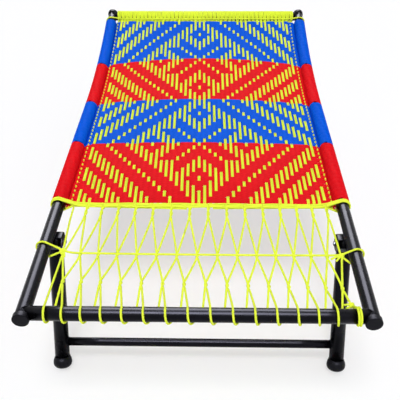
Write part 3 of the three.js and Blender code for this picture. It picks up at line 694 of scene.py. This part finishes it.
# Columns of warps, numbered from the one in the middle. The outermost on each side is the selvage.
COLUMNS = np.arange(-22, 24)
LAST_COLUMN = len(COLUMNS) - 1
SHOWS = np.array([[lime_shows(k, row) for k in COLUMNS] for row in range(ROWS)])
rng = np.random.default_rng(7)


def way_along(station):
    return (station - WEAVE_MIDDLE) / WEAVE_REACH


def column_x(k, station):
    """Where a column of warps lies across the bed."""
    t = way_along(station)
    return sum((lay + change * t) * k**power for power, (lay, change) in enumerate(COLUMN_LAY))


def row_station(row, x):
    """Where a row of wefts, counted from the head, lies along the bed. It is pushed least near the ends."""
    station = MAT_END - row * ROW_PITCH
    t = way_along(station)
    beside = np.minimum((x / ROW_BOW_HALF) ** 2, 1)
    pushes = enumerate(zip(ROW_PUSH_AT_RAILS, ROW_PUSH_IN_MIDDLE))
    push = sum((beside * rails + (1 - beside) * middle) * t**power for power, (rails, middle) in pushes)
    return station + (1 - t**2) * push


def crossing(k, row):
    """Where a column and a row cross: x and station."""
    station = row_station(row, column_x(k, MAT_END - row * ROW_PITCH))
    return column_x(k, station), station


# Where between two crossings a rope starts, has half made and ends its step to the next level
WEFT_STEP = (0.32, 0.45, 0.64)
WARP_STEP = (0.43, 0.5, 0.57)


def stepped(levels, step):
    """A line that holds each level and steps to the next: its places, counted in levels, and its levels."""
    places, out = [0.0], [levels[0]]
    for n, (before, after) in enumerate(zip(levels, levels[1:])):
        if before != after:
            for share, t in zip((0.0, 0.5, 1.0), step):
                places.append(n + t)
                out.append(before + (after - before) * share)
        places.append(n + 1.0)
        out.append(after)
    return np.array(places), np.array(out)


# Between the selvage and the rail the wefts dive to the underside of their turns, every other one deeper
DIVE_X = RAIL_X - np.array([23.5, 26.5, 31.0]) * MM
DIVE_RISES = (np.array([-8.0, -4.0, 1.0]) * MM, np.array([-12.0, -7.0, -1.0]) * MM)


def weft_path(row, weft):
    """One weft across the bed, from the turns on one rail to the turns on the other."""
    levels = np.where(SHOWS[row], -WEFT_LIFT, WEFT_LIFT)
    levels[[0, -1]] = UNDER_SELVAGE if weft == 0 else ON_SELVAGE
    places, level = stepped(levels, WEFT_STEP)
    place = row + (weft + 0.5) / WEFTS_PER_ROW
    x, station = crossing(COLUMNS[0] + places, place)
    station = station + rng.normal(0, WEFT_DRIFT) + rng.normal(0, WEFT_UNEVEN, len(x))
    ends, rises = row_station(place, DIVE_X), DIVE_RISES[weft % 2]
    return np.concatenate([on_bed(-DIVE_X, ends, rises), on_bed(x, station, MAT_RISE + level),
                           on_bed(DIVE_X, ends, rises)[::-1]])


for place, (colour, first, last) in BANDS.items():
    rope(f"{place}_wefts_{colour}", colour,
         [weft_path(row, weft) for row in range(first, last) for weft in range(WEFTS_PER_ROW)],
         WEFT_RADIUS, 6, [f"mat_band_{place}_{colour}"])

# The warps come from their turns on the head bar, and end under the edge ropes
HEAD_TURNS_HALF = RAIL_X - TUBE_RADIUS - 7.5 * MM
GROUP_PITCH = 2 * HEAD_TURNS_HALF / len(COLUMNS)
WARP_HEAD_STATIONS = np.array([BAR_SPACING - 22 * MM, MAT_END + 8 * MM])
WARP_HEAD_RISES = np.array([2.0, 7.0]) * MM
WARP_FOOT_STATIONS = EDGE_MIDDLE + np.array([15.0, 9.0, 4.0]) * MM
WARP_FOOT_RISES = np.array([4.0, 1.0, -1.0]) * MM


def warp_path(index, side):
    """One warp along the bed. In the selvage it rises over each row's first weft and dips under the rest."""
    selvage = index in (0, LAST_COLUMN)
    steps = WEFTS_PER_ROW if selvage else 1
    shows = np.arange(steps * ROWS) % steps == 0 if selvage else SHOWS[:, index]
    levels = np.where(shows, WARP_LIFT, SELVAGE_DIP if selvage else -WARP_LIFT)
    places, level = stepped(levels, WARP_STEP)
    x, station = crossing(COLUMNS[index], (places + 0.5) / steps)
    x = x + side * SELVAGE_SHIFT if selvage else x
    group_x = (index - LAST_COLUMN / 2) * GROUP_PITCH
    head_x = np.array([group_x + side * 2 * CORD_RADIUS, x[0] + side * WARP_RADIUS])
    return np.concatenate([
        on_bed(head_x, WARP_HEAD_STATIONS, WARP_HEAD_RISES),
        on_bed(x + side * WARP_RADIUS, station, MAT_RISE + level),
        on_bed(x[-1] + side * WARP_RADIUS, WARP_FOOT_STATIONS, WARP_FOOT_RISES)])


def warp_sides(index):
    """A column has a warp on each side of its line, and a selvage only the outer one."""
    return {0: (-1,), LAST_COLUMN: (1,)}.get(index, (-1, 1))


for name, part in zip(SIDES, np.split(np.arange(len(COLUMNS)), 2)):
    rope(f"warps_{name}", "lime", [warp_path(index, side) for index in part for side in warp_sides(index)],
         WARP_RADIUS, 6)

# Turns of the wefts round the rails. The foot band's start beside the edge ropes, and the head band's are
# open below where the pivot brackets sit.

EDGE_AT_RAIL = EDGE_MIDDLE + EDGE_SWEEP + 9.5 * MM
BRACKET_MARGIN = 2 * MM
BRACKET_TOP = -0.66
TURN_STEPS = 20
for place, (colour, first, last) in BANDS.items():
    start = EDGE_AT_RAIL if place == "foot" else row_station(last, RAIL_X)
    end = row_station(first, RAIL_X)
    for name, side in SIDES.items():
        line = on_bed(side * RAIL_X, np.linspace(start + WEFT_RADIUS, end - WEFT_RADIUS, 40), 0.0)
        opening = {}
        if place == "head":
            low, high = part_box(f"pivot_bracket_head_{name}")
            reach = np.array([low.y - BRACKET_MARGIN, high.y + BRACKET_MARGIN])
            shares = (reach - line[0, 1]) / (line[-1, 1] - line[0, 1])
            opening = {"open_from": float(shares[0]), "open_to": float(shares[1]), "open_below": BRACKET_TOP}
        grown(f"turns_{place}_{colour}_{name}", TURNS_TREE, [line], "bed", f"{colour}_rope", ROPES[colour],
              [f"rail_wrap_{place}_{colour}_{name}"], turns=int((end - start) / (ROW_PITCH / WEFTS_PER_ROW)),
              steps=TURN_STEPS, turn_radius=WRAP_LINE, rope_radius=WEFT_RADIUS, sides=6, **opening)

# Lime turns round the head bar

TURNS_PER_GROUP = 3
TURN_UNEVEN = 0.25 * MM
GATHER_AT = math.radians(212)
GATHER_WIDTH = math.radians(38)
GATHER_SHARE = 0.5


def head_bar_turns():
    """Three turns for each column, drawn together at the front of the bar where the warps leave it."""
    turn_count = TURNS_PER_GROUP * len(COLUMNS)
    phase = np.arange(0, turn_count, 1 / TURN_STEPS)
    turn = np.floor(phase)
    group_x = (np.floor(turn / TURNS_PER_GROUP) + 0.5) * GROUP_PITCH - HEAD_TURNS_HALF
    x = phase * GROUP_PITCH / TURNS_PER_GROUP - HEAD_TURNS_HALF
    angle = math.tau * phase
    drawn = GATHER_SHARE * np.exp(-((np.mod(angle, math.tau) - GATHER_AT) / GATHER_WIDTH) ** 2)
    x = x + (group_x - x) * drawn + rng.normal(0, TURN_UNEVEN, turn_count)[turn.astype(int)]
    y, z, _ = rail_point(BAR_SPACING)
    radius = TUBE_RADIUS + WRAP_GAP + CORD_RADIUS
    return np.stack([x, y + radius * np.cos(angle), z + radius * np.sin(angle)], -1) + ORIGIN


rope("head_bar_turns", "lime", [head_bar_turns()], CORD_RADIUS, 7, ["head_warp_turns"])

# Cords across the bed, looped round both rails. Their straight runs start so far in from a rail's axis,
# and beneath the mat they end so far from the bed's middle.

RAIL_RUN = 48 * MM
UNDER_END = 40 * MM
RAIL_POINTS = 22
ACROSS_POINTS = 121
# The sweep beside the rails is whole up to the first distance from a rail's axis, then fades over the second
SWEEP_WHOLE = 20 * MM
SWEEP_FADE = 60 * MM
# The share by which ropes side by side draw together at the rails
EDGE_GATHER = 0.3
SWAY_LENGTH = 24 * MM


def touch_angle(across, up, upper):
    """The angle at which a straight run from a point outside touches the rope's turn round a tube."""
    reach = math.acos(CORD_LINE / math.hypot(across, up))
    return math.atan2(up, across) + (reach if upper else -reach)


def across_rope(station, rise, under_rise, offset=0.0, sweep=0.0, sway=0.0, phase=0.0):
    """A cord laid across the bed at a station, round the outside of both rails and back beneath.
    Beside the rails it is swept towards the head, and between them it sways a little."""
    onto = math.pi - touch_angle(RAIL_RUN, rise, True)
    off = math.pi - touch_angle(RAIL_RUN, under_rise, False)
    angles = np.linspace(off - math.tau, onto, RAIL_POINTS)
    loop = np.stack([RAIL_X + CORD_LINE * np.cos(angles), CORD_LINE * np.sin(angles)], -1)
    right = np.concatenate([[[UNDER_END, under_rise], [RAIL_X - RAIL_RUN, under_rise]], loop,
                            [[RAIL_X - RAIL_RUN, rise]]])
    inner_x = np.linspace(RAIL_X - RAIL_RUN, RAIL_RUN - RAIL_X, ACROSS_POINTS)[1:-1]
    inner = np.stack([inner_x, np.full(len(inner_x), rise)], -1)
    x, up = np.concatenate([right, inner, right[::-1] * [-1, 1]]).T
    inside = np.clip((RAIL_X - SWEEP_WHOLE - np.abs(x)) / SWEEP_FADE, 0, 1)
    near = 1 - inside**2 * (3 - 2 * inside)
    swayed = (1 - near) * sway * np.sin(x / SWAY_LENGTH + phase)
    return on_bed(x, station, up, offset * (1 - EDGE_GATHER * near) + sweep * near + swayed)


BINDING_STATION = MAT_END + 12 * MM
rope("head_binding", "lime", [across_rope(BINDING_STATION, 14.8 * MM, -2.8 * MM)], CORD_RADIUS, 10,
     ["head_binding_cord"])
for i in range(EDGE_ROPES):
    offset = (i - (EDGE_ROPES - 1) / 2) * EDGE_PITCH + EDGE_SHIFT
    rope(f"edge_rope_{i + 1}", "lime",
         [across_rope(EDGE_MIDDLE, 9.15 * MM, 2.85 * MM, offset, EDGE_SWEEP, EDGE_SWAY, phase=2.1 * i)],
         CORD_RADIUS, 10, [f"mat_edge_rope_{i + 1}"])

# Foot net

lower_y, _, lower_rise, lower_length = NET_JOINTS["lower"]
laced_from = lower_y - lower_length / 2
OVER_ANGLE = touch_angle(laced_from, lower_rise, True)
BEHIND_ANGLE = touch_angle(laced_from, lower_rise, False) + math.tau
KNOT_OVER = touch_angle(END_KNOT[1], END_KNOT[2], True)
KNOT_BEHIND = touch_angle(END_KNOT[1], END_KNOT[2], False) + math.tau


def net_x(i, row):
    """Where a column of the net crosses one of its rows."""
    shift, loss = NET_SHIFTS[row]
    out = 2 * i / NET_LAST - 1
    spread = (RAIL_X - NET_MARGIN) * ((1 + NET_GATHER) * out - NET_GATHER * out**3)
    return NET_MIDDLE + spread + shift * (1 - loss * out**2)


def joint(row, i, side, upwards=False):
    """A strand's points through a joint, where it twists round its neighbour."""
    y, slant, rise, length = NET_JOINTS[row]
    alone = row == "edge" and i == 0
    turns = 0 if alone else round(length / TWIST_PITCH)
    t = np.linspace(0, 1, 9)
    x = net_x(i, row)
    points = np.stack([x + side * JOINT_HALF * np.cos(math.tau * turns * t),
                       y + slant * x / RAIL_X + length * (0.5 - t),
                       rise + side * JOINT_HALF * np.sin(math.tau * turns * t)], -1)
    return points[::-1] if upwards else points


def bar_turn(i):
    """Over the foot bar from the front strand and back up behind it."""
    over, behind = net_x(i, "over"), net_x(i, "behind")
    under = (over + behind) / 2
    angle = np.linspace(OVER_ANGLE, BEHIND_ANGLE, 24)
    first = np.clip((angle - OVER_ANGLE) / (HALVES_MEET - OVER_ANGLE), 0, 1)
    second = np.clip((angle - HALVES_MEET) / (BEHIND_ANGLE - HALVES_MEET), 0, 1)
    x = over + (under - over) * first**UNDER_EASE + (behind - under) * second
    return np.stack([x, CORD_LINE * np.cos(angle), CORD_LINE * np.sin(angle)], -1)


def edge_loop(i):
    return np.array([[net_x(i, "edge") + a * MM, NET_START + b * MM, c * MM] for a, b, c in EDGE_LOOP])


def net_strand():
    """The net's one rope, down and up column by column, to its end knot."""
    line = []
    for i in range(NET_LAST):
        line += [joint("edge", i, 1), joint("cord", i, -1)]
        if i > 0:
            line.append(joint("lower", i - 1, 1))
        line += [bar_turn(i), joint("lower", i, -1, True), joint("cord", i, 1, True)]
        line += [joint("edge", i + 1, -1, True), edge_loop(i + 1)]
    line += [joint("edge", NET_LAST, 1), joint("cord", NET_LAST, -1)]
    line += [joint("lower", NET_LAST - 1, 1), [END_KNOT]]
    return smoothed(np.concatenate(line), ROPE_SPACING) + ORIGIN


def end_turns():
    """The net rope's two turns round the foot bar, from its end knot and back to it."""
    t = np.linspace(0, 1, 44)
    angle = KNOT_OVER + (KNOT_BEHIND + math.tau - KNOT_OVER) * t
    x = END_TURN_X + 2 * END_TURN_PITCH * t
    turns = np.stack([x, CORD_LINE * np.cos(angle), CORD_LINE * np.sin(angle)], -1)
    return smoothed(np.concatenate([[END_KNOT], turns, [END_KNOT]]), ROPE_SPACING) + ORIGIN


def knot_paths(centre, tails):
    """An overhand knot pulled tight, and its cut ends."""
    t = np.linspace(0, math.tau, 60)
    shape = np.stack([np.sin(t) + 2 * np.sin(2 * t), np.cos(t) - 2 * np.cos(2 * t), -np.sin(3 * t)], -1)
    ends = [np.array([centre, centre + np.array(a) * MM, centre + np.array(b) * MM]) for a, b in tails]
    return [centre + shape * KNOT_SIZE / 3 + ORIGIN] + [smoothed(end, KNOT_SPACING) + ORIGIN for end in ends]


rope("foot_net_lacing", "lime", [net_strand(), end_turns()] + knot_paths(END_KNOT, END_TAILS),
     CORD_RADIUS, 9, ["foot_net"])

# Cross cord through the net, tied round both rails

TIE_POINTS = 24
cord_y, cord_slant, joint_rise, _ = NET_JOINTS["cord"]
cord_rise = joint_rise + 2 * CORD_RADIUS + CLEARANCE
tie_ends = (net_x(0, "cord") - 5 * MM, net_x(NET_LAST, "cord") - 1 * MM)


def cross_cord():
    """The cord over the joints, sagging a little, its ends pulled towards the head at their knots."""
    x = np.linspace(*tie_ends, 97)
    pulled = sum(KNOT_PULL[side] * np.clip(1 - np.abs(x - end_x) / PULL_REACH, 0, 1) ** 2
                 for side, end_x in zip((-1, 1), tie_ends))
    sag = CORD_SAG * (1 - (x / RAIL_X) ** 2)
    return np.stack([x, cord_y + cord_slant * x / RAIL_X + pulled, cord_rise - sag], -1) + ORIGIN


def tie_paths(tie_x):
    """A tie from its knot round the outside of the rail and back beneath, and the knot."""
    side = int(math.copysign(1, tie_x))
    run = RAIL_X - abs(tie_x)
    y = cord_y + cord_slant * tie_x / RAIL_X + KNOT_PULL[side]
    onto = math.pi - touch_angle(run, cord_rise, True)
    off = -math.pi - touch_angle(run, joint_rise, False)
    angles = np.linspace(off, onto, TIE_POINTS)
    bow = TIE_BOW * np.sin(np.linspace(0, math.pi, TIE_POINTS))
    slant = np.linspace(TIE_UNDER[side], TIE_OVER[side], TIE_POINTS) + bow
    loop = np.stack([side * (RAIL_X + CORD_LINE * np.cos(angles)), y + slant, CORD_LINE * np.sin(angles)], -1)
    tie = np.concatenate([[[tie_x, y, joint_rise]], loop, [[tie_x, y, cord_rise]]])
    knot = np.array([tie_x, y, (joint_rise + cord_rise) / 2])
    return [smoothed(tie, KNOT_SPACING) + ORIGIN] + knot_paths(knot, TIE_TAILS[side])


rope("net_cross_cord_tied", "lime", [cross_cord()] + tie_paths(tie_ends[0]) + tie_paths(tie_ends[1]),
     CORD_RADIUS, 9, ["net_cross_cord"])

# Tube frame

CIRCLE = np.linspace(0, math.tau, 49)[:-1]
ACROSS_SHARES = np.linspace(-1, 1, 9)
RAIL_STATIONS = np.concatenate([[-RAIL_OVERHANG], np.linspace(0, LEVEL_LENGTH, 12),
                                np.linspace(LEVEL_LENGTH, BAR_SPACING + RAIL_OVERHANG, 30)[1:]])

for name, side in SIDES.items():
    x, up = side * RAIL_X + TUBE_RADIUS * np.cos(CIRCLE), TUBE_RADIUS * np.sin(CIRCLE)
    rings = [on_bed(x, station, up) for station in RAIL_STATIONS]
    steel(f"rail_tube_{name}", swept(rings), "bed", f"side_rail_{name}")

for name, station in BARS.items():
    up, along = TUBE_RADIUS * np.cos(CIRCLE), TUBE_RADIUS * np.sin(CIRCLE)
    span = RAIL_X - np.sqrt(TUBE_RADIUS**2 - up**2)
    rings = [on_bed(share * span, station, up, along) for share in ACROSS_SHARES]
    steel(f"{name}_bar_tube", swept(rings), "bed", f"{name}_crossbar")
    weld(f"{name}_bar_welds", [rings[0], rings[-1]], "bed")

# End caps, notched where the crossbar meets the rail

CAP_BORE = TUBE_RADIUS + CLEARANCE
CAP_END = CLEARANCE - CAP_SKIRT
cap_profile = ([(0, CLEARANCE), (CAP_BORE, CLEARANCE), (CAP_BORE, CAP_END)]
               + profile_arc(CAP_RADIUS - CAP_LIP, CAP_END + CAP_LIP, CAP_LIP, CAP_LIP, -90, 0, 4)
               + profile_arc(CAP_RADIUS - CAP_EDGE, CAP_TOP - CAP_EDGE, CAP_EDGE, CAP_EDGE, 0, 90)
               + profile_arc(0, CAP_TOP - CAP_DOME, CAP_RADIUS - 2 * CAP_EDGE, CAP_DOME, 60, 90, 5))


def cut_by(mesh, cutter):
    """The mesh less the cutter's solid."""
    body, tool = new_object("cut", mesh), new_object("cutter", cutter)
    modifier = body.modifiers.new("cut", "BOOLEAN")
    modifier.operation = "DIFFERENCE"
    modifier.solver = "EXACT"
    modifier.object = tool
    made = as_evaluated(body)
    bpy.data.objects.remove(tool)
    return made


def end_cap(end, name):
    station, side = BARS[end], SIDES[name]
    outward = -1 if end == "foot" else 1
    y, z, slope = rail_point(station + outward * RAIL_OVERHANG)
    bar_y, bar_z, _ = rail_point(station)
    rail_end = Matrix.Translation(Vector((side * RAIL_X, y, z)) + Vector(ORIGIN))
    bar_middle = Matrix.Translation(Vector((0, bar_y, bar_z)) + Vector(ORIGIN))
    cap = turned(cap_profile, 64)
    cap.transform(rail_end @ Matrix.Rotation(slope - outward * math.pi / 2, 4, "X"))
    notch = turned([(0, 0), (CAP_BORE, 0), (CAP_BORE, RAIL_X), (0, RAIL_X)])
    notch.transform(bar_middle @ Matrix.Rotation(side * math.pi / 2, 4, "Y"))
    painted(f"end_cap_{end}_{name}", cut_by(cap, notch), "bed", CAP_PLASTIC,
            [f"rail_end_cap_{end}_{name}"])


for end in BARS:
    for name in SIDES:
        end_cap(end, name)

# Leg frames

FOOT_BORE = LEG_RADIUS + CLEARANCE
foot_profile = ([(0, FOOT_BORE_DEPTH), (FOOT_BORE, FOOT_BORE_DEPTH), (FOOT_BORE, FOOT_SKIRT)]
                + profile_arc(FOOT_SKIRT_RADIUS - FOOT_LIP, FOOT_SKIRT - FOOT_LIP, FOOT_LIP, FOOT_LIP,
                              90, 0, 4)
                + profile_arc(FOOT_SKIRT_RADIUS, 0, FOOT_RADIUS - FOOT_SKIRT_RADIUS, FOOT_SHOULDER, 90, 0, 10)
                + profile_arc(FOOT_RADIUS - FOOT_ROUND, 0, FOOT_ROUND, FOOT_ROUND, 0, -90, 16)[1:]
                + [(0, -FOOT_ROUND)])


def leg_and_foot(end, name, body, leg_line, length):
    """A leg with its rounded top on its pivot, and the foot at its end, along a leg's line."""
    leg_end = FOOT_BORE_DEPTH + CLEARANCE - length
    rounded_top = profile_arc(0, 0, LEG_RADIUS, LEG_RADIUS, 0, 90, 12)
    tube = turned([(0, leg_end), (LEG_RADIUS, leg_end)] + rounded_top)
    tube.transform(leg_line)
    steel(f"leg_tube_{end}_{name}", tube, body, f"leg_{end}_{name}")
    foot = turned(foot_profile, 64)
    foot.transform(leg_line @ Matrix.Translation((0, 0, -length)))
    # The foot is pressed flat where it bears on the floor
    for vertex in foot.vertices:
        vertex.co.z = max(vertex.co.z, 0)
    painted(f"rubber_foot_{end}_{name}", foot, body, RUBBER, [f"foot_cap_{end}_{name}"])


def leg_frame(end, outward):
    """Two legs with their feet, and the stretcher between them, swung outwards from their pivots."""
    body, splay = f"{end}_leg_frame", LEG_SPLAY[end]
    pivot = Vector(on_bed(0.0, BARS[end] - outward * PIVOT_FROM_BAR, -PIVOT_DROP))
    drop = pivot.z + FOOT_BEARING - FOOT_ROUND - (FOOT_RADIUS - FOOT_ROUND) * math.sin(splay)
    length = drop / math.cos(splay) / math.cos(LEG_LEAN)
    swung = Matrix.Translation(pivot) @ Matrix.Rotation(outward * splay, 4, "X")
    for name, side in SIDES.items():
        leg_top = swung @ Matrix.Translation((side * PIVOT_X, 0, 0))
        leg_and_foot(end, name, body, leg_top @ Matrix.Rotation(side * LEG_LEAN, 4, "Y"), length)
    along = (length - STRETCHER_FROM_FOOT) * math.cos(LEG_LEAN)
    deep, high = STRETCHER_RADIUS * np.sin(CIRCLE), STRETCHER_RADIUS * np.cos(CIRCLE) - along
    span = PIVOT_X + high * math.tan(LEG_LEAN) - np.sqrt(LEG_RADIUS**2 - deep**2)
    rings = [[swung @ Vector(point) for point in np.stack([share * span, deep, high], -1)]
             for share in ACROSS_SHARES]
    steel(f"stretcher_tube_{end}", swept(rings), body, f"stretcher_{end}")
    weld(f"stretcher_welds_{end}", [np.array(rings[0]), np.array(rings[-1])], body)


leg_frame("foot", -1)
leg_frame("head", 1)

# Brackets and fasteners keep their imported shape, with their edges broken


def edge_broken(name, node, width, material):
    bm = bmesh.new()
    bm.from_mesh(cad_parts[node].data)
    bmesh.ops.remove_doubles(bm, verts=bm.verts, dist=0.005 * MM)
    bmesh.ops.dissolve_limit(bm, angle_limit=math.radians(1), verts=bm.verts, edges=bm.edges)
    mesh = bpy.data.meshes.new("edged")
    bm.to_mesh(mesh)
    bm.free()
    piece = new_object("edged", mesh)
    bevel = piece.modifiers.new("edges", "BEVEL")
    bevel.width = width
    bevel.segments = 2
    bevel.angle_limit = math.radians(28)
    done = as_evaluated(piece)
    done.polygons.foreach_set("use_smooth", [True] * len(done.polygons))
    painted(name, done, "bed", material, [node])


for end in BARS:
    for name in SIDES:
        edge_broken(f"bracket_{end}_{name}", f"pivot_bracket_{end}_{name}", BRACKET_EDGE,
                    ENAMEL)
        for kind in ("pivot_bolt", "pivot_nut", "stop_pin"):
            edge_broken(f"{kind}_zinc_{end}_{name}", f"{kind}_{end}_{name}", FASTENER_EDGE,
                        ZINC)
